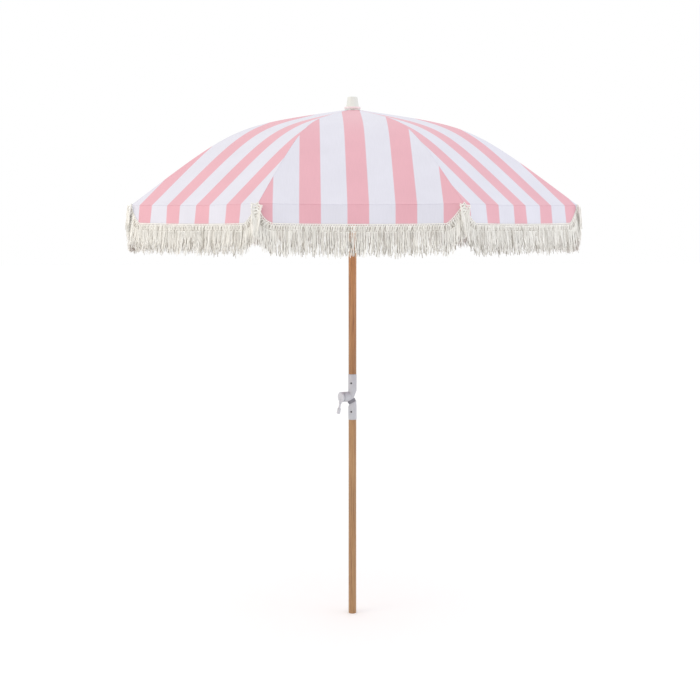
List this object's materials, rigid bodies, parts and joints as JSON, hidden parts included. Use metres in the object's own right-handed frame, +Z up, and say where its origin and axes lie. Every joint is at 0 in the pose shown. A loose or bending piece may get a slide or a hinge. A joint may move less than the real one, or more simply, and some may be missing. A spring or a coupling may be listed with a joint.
{
  "type": "folding beach parasol",
  "caption": "Folding striped beach parasol with a wooden pole, oblique swivel tilt joint, sliding runner, hinged ribs and stretchers and a knotted fringe.",
  "frame": {"origin": "centre of the pole's foot", "axes": "+Z up the pole, -Y out of the middle of the front gore, +X to the right seen from the front"},
  "size_m": [1.663, 1.663, 2.105],
  "materials": {
    "pole_wood": "clear satin varnish",
    "white_casting": "white powder coat",
    "dark_nylon": "moulded, ribbed",
    "black_screw": "black oxide",
    "steel": "zinc plated",
    "white_plastic": "moulded, fine satin",
    "rib_enamel": "white enamel",
    "striped_canvas": "woven canvas, pink and white stripes",
    "fringe": "knotted cotton fringe, ivory"
  },
  "bodies": {
    "lower": {"lower_pole": "pole_wood", "lower_knuckle": "white_casting", "lower_screw": "black_screw", "clutch_ring": "dark_nylon", "swivel_pin": "steel"},
    "upper": {"upper_pole": "pole_wood", "upper_knuckle": "white_casting", "upper_screw": "black_screw", "clamp_washer": "dark_nylon", "crown": "white_plastic", "crown_wire": "steel", "finial": "white_plastic"},
    "lever": {"clamp_bolt": "steel", "clamp_knob": "white_casting", "lever_arm": "white_casting", "lever_grip": "white_casting"},
    "runner": {"runner": "white_plastic", "runner_wire": "steel"},
    "thumbscrew": {"runner_thumbscrew": "white_plastic"},
    "rib_1": {"rib_1": "rib_enamel"},
    "stretcher_1": {"stretcher_1": "rib_enamel"},
    "half_gore_1_right": {"half_gore_1_right": "striped_canvas"},
    "half_gore_1_left": {"half_gore_1_left": "striped_canvas"},
    "valance_1": {"valance_1": "fringe"},
    "rib_2": {"rib_2": "rib_enamel"},
    "stretcher_2": {"stretcher_2": "rib_enamel"},
    "half_gore_2_right": {"half_gore_2_right": "striped_canvas"},
    "half_gore_2_left": {"half_gore_2_left": "striped_canvas"},
    "valance_2": {"valance_2": "fringe"},
    "rib_3": {"rib_3": "rib_enamel"},
    "stretcher_3": {"stretcher_3": "rib_enamel"},
    "half_gore_3_right": {"half_gore_3_right": "striped_canvas"},
    "half_gore_3_left": {"half_gore_3_left": "striped_canvas"},
    "valance_3": {"valance_3": "fringe"},
    "rib_4": {"rib_4": "rib_enamel"},
    "stretcher_4": {"stretcher_4": "rib_enamel"},
    "half_gore_4_right": {"half_gore_4_right": "striped_canvas"},
    "half_gore_4_left": {"half_gore_4_left": "striped_canvas"},
    "valance_4": {"valance_4": "fringe"},
    "rib_5": {"rib_5": "rib_enamel"},
    "stretcher_5": {"stretcher_5": "rib_enamel"},
    "half_gore_5_right": {"half_gore_5_right": "striped_canvas"},
    "half_gore_5_left": {"half_gore_5_left": "striped_canvas"},
    "valance_5": {"valance_5": "fringe"},
    "rib_6": {"rib_6": "rib_enamel"},
    "stretcher_6": {"stretcher_6": "rib_enamel"},
    "half_gore_6_right": {"half_gore_6_right": "striped_canvas"},
    "half_gore_6_left": {"half_gore_6_left": "striped_canvas"},
    "valance_6": {"valance_6": "fringe"},
    "rib_7": {"rib_7": "rib_enamel"},
    "stretcher_7": {"stretcher_7": "rib_enamel"},
    "half_gore_7_right": {"half_gore_7_right": "striped_canvas"},
    "half_gore_7_left": {"half_gore_7_left": "striped_canvas"},
    "valance_7": {"valance_7": "fringe"},
    "rib_8": {"rib_8": "rib_enamel"},
    "stretcher_8": {"stretcher_8": "rib_enamel"},
    "half_gore_8_right": {"half_gore_8_right": "striped_canvas"},
    "half_gore_8_left": {"half_gore_8_left": "striped_canvas"},
    "valance_8": {"valance_8": "fringe"}
  },
  "joints": [
    {"name": "tilt_swivel", "type": "hinge", "parent": "lower", "child": "upper", "pos_m": [-0.0035, 0, 0.8865], "axis": [-0.5, 0, 0.866], "range_deg": [-90, 90]},
    {"name": "lever_turn", "type": "hinge", "parent": "upper", "child": "lever", "pos_m": [-0.01384, 0, 0.9044], "axis": [-0.866, -0.5, 0], "range_deg": [0, 180]},
    {"name": "runner_slide", "type": "slide", "parent": "upper", "child": "runner", "axis": [0, 0, 1], "range_m": [-0.52584, 0]},
    {"name": "thumbscrew_turn", "type": "hinge", "parent": "runner", "child": "thumbscrew", "pos_m": [0, -0.0275, 1.686], "axis": [0, -1, 0], "range_deg": [0, 360]},
    {"name": "rib_1_fold", "type": "hinge", "parent": "upper", "child": "rib_1", "pos_m": [0.01148, -0.02772, 2.036], "axis": [0.9239, 0.3827, 0], "range_deg": [0, 64.01]},
    {"name": "stretcher_1_fold", "type": "hinge", "parent": "rib_1", "child": "stretcher_1", "pos_m": [0.1629, -0.39326, 1.95709], "axis": [-0.9239, -0.3827, 0], "range_deg": [0, 110.6]},
    {"name": "half_gore_1_right_fold", "type": "hinge", "parent": "rib_1", "child": "half_gore_1_right", "pos_m": [0.01699, -0.02543, 2.036], "axis": [-0.5093, 0.6869, -0.5184], "range_deg": [0, 23.59], "deforming": ["half_gore_1_right"]},
    {"name": "half_gore_1_left_fold", "type": "hinge", "parent": "rib_1", "child": "half_gore_1_left", "pos_m": [0.00597, -0.03, 2.036], "axis": [0.1256, -0.8459, 0.5184], "range_deg": [0, 23.59], "deforming": ["half_gore_1_left"]},
    {"name": "valance_1_hang", "type": "hinge", "parent": "rib_1", "child": "valance_1", "pos_m": [0.34442, -0.83149, 1.67348], "axis": [-0.9239, -0.3827, 0], "range_deg": [0, 64.01], "deforming": ["valance_1"]},
    {"name": "rib_2_fold", "type": "hinge", "parent": "upper", "child": "rib_2", "pos_m": [0.02772, -0.01148, 2.036], "axis": [0.3827, 0.9239, 0], "range_deg": [0, 64.01]},
    {"name": "stretcher_2_fold", "type": "hinge", "parent": "rib_2", "child": "stretcher_2", "pos_m": [0.39326, -0.1629, 1.95709], "axis": [-0.3827, -0.9239, 0], "range_deg": [0, 110.6]},
    {"name": "half_gore_2_right_fold", "type": "hinge", "parent": "rib_2", "child": "half_gore_2_right", "pos_m": [0.03, -0.00597, 2.036], "axis": [-0.8459, 0.1256, -0.5184], "range_deg": [0, 23.59], "deforming": ["half_gore_2_right"]},
    {"name": "half_gore_2_left_fold", "type": "hinge", "parent": "rib_2", "child": "half_gore_2_left", "pos_m": [0.02543, -0.01699, 2.036], "axis": [0.6869, -0.5093, 0.5184], "range_deg": [0, 23.59], "deforming": ["half_gore_2_left"]},
    {"name": "valance_2_hang", "type": "hinge", "parent": "rib_2", "child": "valance_2", "pos_m": [0.83149, -0.34442, 1.67348], "axis": [-0.3827, -0.9239, 0], "range_deg": [0, 64.01], "deforming": ["valance_2"]},
    {"name": "rib_3_fold", "type": "hinge", "parent": "upper", "child": "rib_3", "pos_m": [0.02772, 0.01148, 2.036], "axis": [-0.3827, 0.9239, 0], "range_deg": [0, 64.01]},
    {"name": "stretcher_3_fold", "type": "hinge", "parent": "rib_3", "child": "stretcher_3", "pos_m": [0.39326, 0.1629, 1.95709], "axis": [0.3827, -0.9239, 0], "range_deg": [0, 110.6]},
    {"name": "half_gore_3_right_fold", "type": "hinge", "parent": "rib_3", "child": "half_gore_3_right", "pos_m": [0.02543, 0.01699, 2.036], "axis": [-0.6869, -0.5093, -0.5184], "range_deg": [0, 23.59], "deforming": ["half_gore_3_right"]},
    {"name": "half_gore_3_left_fold", "type": "hinge", "parent": "rib_3", "child": "half_gore_3_left", "pos_m": [0.03, 0.00597, 2.036], "axis": [0.8459, 0.1256, 0.5184], "range_deg": [0, 23.59], "deforming": ["half_gore_3_left"]},
    {"name": "valance_3_hang", "type": "hinge", "parent": "rib_3", "child": "valance_3", "pos_m": [0.83149, 0.34442, 1.67348], "axis": [0.3827, -0.9239, 0], "range_deg": [0, 64.01], "deforming": ["valance_3"]},
    {"name": "rib_4_fold", "type": "hinge", "parent": "upper", "child": "rib_4", "pos_m": [0.01148, 0.02772, 2.036], "axis": [-0.9239, 0.3827, 0], "range_deg": [0, 64.01]},
    {"name": "stretcher_4_fold", "type": "hinge", "parent": "rib_4", "child": "stretcher_4", "pos_m": [0.1629, 0.39326, 1.95709], "axis": [0.9239, -0.3827, 0], "range_deg": [0, 110.6]},
    {"name": "half_gore_4_right_fold", "type": "hinge", "parent": "rib_4", "child": "half_gore_4_right", "pos_m": [0.00597, 0.03, 2.036], "axis": [-0.1256, -0.8459, -0.5184], "range_deg": [0, 23.59], "deforming": ["half_gore_4_right"]},
    {"name": "half_gore_4_left_fold", "type": "hinge", "parent": "rib_4", "child": "half_gore_4_left", "pos_m": [0.01699, 0.02543, 2.036], "axis": [0.5093, 0.6869, 0.5184], "range_deg": [0, 23.59], "deforming": ["half_gore_4_left"]},
    {"name": "valance_4_hang", "type": "hinge", "parent": "rib_4", "child": "valance_4", "pos_m": [0.34442, 0.83149, 1.67348], "axis": [0.9239, -0.3827, 0], "range_deg": [0, 64.01], "deforming": ["valance_4"]},
    {"name": "rib_5_fold", "type": "hinge", "parent": "upper", "child": "rib_5", "pos_m": [-0.01148, 0.02772, 2.036], "axis": [-0.9239, -0.3827, 0], "range_deg": [0, 64.01]},
    {"name": "stretcher_5_fold", "type": "hinge", "parent": "rib_5", "child": "stretcher_5", "pos_m": [-0.1629, 0.39326, 1.95709], "axis": [0.9239, 0.3827, 0], "range_deg": [0, 110.6]},
    {"name": "half_gore_5_right_fold", "type": "hinge", "parent": "rib_5", "child": "half_gore_5_right", "pos_m": [-0.01699, 0.02543, 2.036], "axis": [0.5093, -0.6869, -0.5184], "range_deg": [0, 23.59], "deforming": ["half_gore_5_right"]},
    {"name": "half_gore_5_left_fold", "type": "hinge", "parent": "rib_5", "child": "half_gore_5_left", "pos_m": [-0.00597, 0.03, 2.036], "axis": [-0.1256, 0.8459, 0.5184], "range_deg": [0, 23.59], "deforming": ["half_gore_5_left"]},
    {"name": "valance_5_hang", "type": "hinge", "parent": "rib_5", "child": "valance_5", "pos_m": [-0.34442, 0.83149, 1.67348], "axis": [0.9239, 0.3827, 0], "range_deg": [0, 64.01], "deforming": ["valance_5"]},
    {"name": "rib_6_fold", "type": "hinge", "parent": "upper", "child": "rib_6", "pos_m": [-0.02772, 0.01148, 2.036], "axis": [-0.3827, -0.9239, 0], "range_deg": [0, 64.01]},
    {"name": "stretcher_6_fold", "type": "hinge", "parent": "rib_6", "child": "stretcher_6", "pos_m": [-0.39326, 0.1629, 1.95709], "axis": [0.3827, 0.9239, 0], "range_deg": [0, 110.6]},
    {"name": "half_gore_6_right_fold", "type": "hinge", "parent": "rib_6", "child": "half_gore_6_right", "pos_m": [-0.03, 0.00597, 2.036], "axis": [0.8459, -0.1256, -0.5184], "range_deg": [0, 23.59], "deforming": ["half_gore_6_right"]},
    {"name": "half_gore_6_left_fold", "type": "hinge", "parent": "rib_6", "child": "half_gore_6_left", "pos_m": [-0.02543, 0.01699, 2.036], "axis": [-0.6869, 0.5093, 0.5184], "range_deg": [0, 23.59], "deforming": ["half_gore_6_left"]},
    {"name": "valance_6_hang", "type": "hinge", "parent": "rib_6", "child": "valance_6", "pos_m": [-0.83149, 0.34442, 1.67348], "axis": [0.3827, 0.9239, 0], "range_deg": [0, 64.01], "deforming": ["valance_6"]},
    {"name": "rib_7_fold", "type": "hinge", "parent": "upper", "child": "rib_7", "pos_m": [-0.02772, -0.01148, 2.036], "axis": [0.3827, -0.9239, 0], "range_deg": [0, 64.01]},
    {"name": "stretcher_7_fold", "type": "hinge", "parent": "rib_7", "child": "stretcher_7", "pos_m": [-0.39326, -0.16289, 1.95709], "axis": [-0.3827, 0.9239, 0], "range_deg": [0, 110.6]},
    {"name": "half_gore_7_right_fold", "type": "hinge", "parent": "rib_7", "child": "half_gore_7_right", "pos_m": [-0.02543, -0.01699, 2.036], "axis": [0.6869, 0.5093, -0.5184], "range_deg": [0, 23.59], "deforming": ["half_gore_7_right"]},
    {"name": "half_gore_7_left_fold", "type": "hinge", "parent": "rib_7", "child": "half_gore_7_left", "pos_m": [-0.03, -0.00597, 2.036], "axis": [-0.8459, -0.1256, 0.5184], "range_deg": [0, 23.59], "deforming": ["half_gore_7_left"]},
    {"name": "valance_7_hang", "type": "hinge", "parent": "rib_7", "child": "valance_7", "pos_m": [-0.83149, -0.34442, 1.67348], "axis": [-0.3827, 0.9239, 0], "range_deg": [0, 64.01], "deforming": ["valance_7"]},
    {"name": "rib_8_fold", "type": "hinge", "parent": "upper", "child": "rib_8", "pos_m": [-0.01148, -0.02772, 2.036], "axis": [0.9239, -0.3827, 0], "range_deg": [0, 64.01]},
    {"name": "stretcher_8_fold", "type": "hinge", "parent": "rib_8", "child": "stretcher_8", "pos_m": [-0.1629, -0.39326, 1.95709], "axis": [-0.9239, 0.3827, 0], "range_deg": [0, 110.6]},
    {"name": "half_gore_8_right_fold", "type": "hinge", "parent": "rib_8", "child": "half_gore_8_right", "pos_m": [-0.00597, -0.03, 2.036], "axis": [0.1256, 0.8459, -0.5184], "range_deg": [0, 23.59], "deforming": ["half_gore_8_right"]},
    {"name": "half_gore_8_left_fold", "type": "hinge", "parent": "rib_8", "child": "half_gore_8_left", "pos_m": [-0.01699, -0.02543, 2.036], "axis": [-0.5093, -0.6869, 0.5184], "range_deg": [0, 23.59], "deforming": ["half_gore_8_left"]},
    {"name": "valance_8_hang", "type": "hinge", "parent": "rib_8", "child": "valance_8", "pos_m": [-0.34442, -0.83149, 1.67348], "axis": [-0.9239, 0.3827, 0], "range_deg": [0, 64.01], "deforming": ["valance_8"]}
  ],
  "couplings": [
    {"joint": "rib_1_fold", "follows": "runner_slide", "rad_per_m": -2.1242},
    {"joint": "stretcher_1_fold", "follows": "runner_slide", "rad_per_m": -3.6709},
    {"joint": "half_gore_1_right_fold", "follows": "runner_slide", "rad_per_m": -0.78298},
    {"joint": "half_gore_1_left_fold", "follows": "runner_slide", "rad_per_m": -0.78298},
    {"joint": "valance_1_hang", "follows": "runner_slide", "rad_per_m": -2.1242},
    {"joint": "rib_2_fold", "follows": "runner_slide", "rad_per_m": -2.1242},
    {"joint": "stretcher_2_fold", "follows": "runner_slide", "rad_per_m": -3.6709},
    {"joint": "half_gore_2_right_fold", "follows": "runner_slide", "rad_per_m": -0.78298},
    {"joint": "half_gore_2_left_fold", "follows": "runner_slide", "rad_per_m": -0.78298},
    {"joint": "valance_2_hang", "follows": "runner_slide", "rad_per_m": -2.1242},
    {"joint": "rib_3_fold", "follows": "runner_slide", "rad_per_m": -2.1242},
    {"joint": "stretcher_3_fold", "follows": "runner_slide", "rad_per_m": -3.6709},
    {"joint": "half_gore_3_right_fold", "follows": "runner_slide", "rad_per_m": -0.78298},
    {"joint": "half_gore_3_left_fold", "follows": "runner_slide", "rad_per_m": -0.78298},
    {"joint": "valance_3_hang", "follows": "runner_slide", "rad_per_m": -2.1242},
    {"joint": "rib_4_fold", "follows": "runner_slide", "rad_per_m": -2.1242},
    {"joint": "stretcher_4_fold", "follows": "runner_slide", "rad_per_m": -3.6709},
    {"joint": "half_gore_4_right_fold", "follows": "runner_slide", "rad_per_m": -0.78298},
    {"joint": "half_gore_4_left_fold", "follows": "runner_slide", "rad_per_m": -0.78298},
    {"joint": "valance_4_hang", "follows": "runner_slide", "rad_per_m": -2.1242},
    {"joint": "rib_5_fold", "follows": "runner_slide", "rad_per_m": -2.1242},
    {"joint": "stretcher_5_fold", "follows": "runner_slide", "rad_per_m": -3.6709},
    {"joint": "half_gore_5_right_fold", "follows": "runner_slide", "rad_per_m": -0.78298},
    {"joint": "half_gore_5_left_fold", "follows": "runner_slide", "rad_per_m": -0.78298},
    {"joint": "valance_5_hang", "follows": "runner_slide", "rad_per_m": -2.1242},
    {"joint": "rib_6_fold", "follows": "runner_slide", "rad_per_m": -2.1242},
    {"joint": "stretcher_6_fold", "follows": "runner_slide", "rad_per_m": -3.6709},
    {"joint": "half_gore_6_right_fold", "follows": "runner_slide", "rad_per_m": -0.78298},
    {"joint": "half_gore_6_left_fold", "follows": "runner_slide", "rad_per_m": -0.78298},
    {"joint": "valance_6_hang", "follows": "runner_slide", "rad_per_m": -2.1242},
    {"joint": "rib_7_fold", "follows": "runner_slide", "rad_per_m": -2.1242},
    {"joint": "stretcher_7_fold", "follows": "runner_slide", "rad_per_m": -3.6709},
    {"joint": "half_gore_7_right_fold", "follows": "runner_slide", "rad_per_m": -0.78298},
    {"joint": "half_gore_7_left_fold", "follows": "runner_slide", "rad_per_m": -0.78298},
    {"joint": "valance_7_hang", "follows": "runner_slide", "rad_per_m": -2.1242},
    {"joint": "rib_8_fold", "follows": "runner_slide", "rad_per_m": -2.1242},
    {"joint": "stretcher_8_fold", "follows": "runner_slide", "rad_per_m": -3.6709},
    {"joint": "half_gore_8_right_fold", "follows": "runner_slide", "rad_per_m": -0.78298},
    {"joint": "half_gore_8_left_fold", "follows": "runner_slide", "rad_per_m": -0.78298},
    {"joint": "valance_8_hang", "follows": "runner_slide", "rad_per_m": -2.1242}
  ]
}
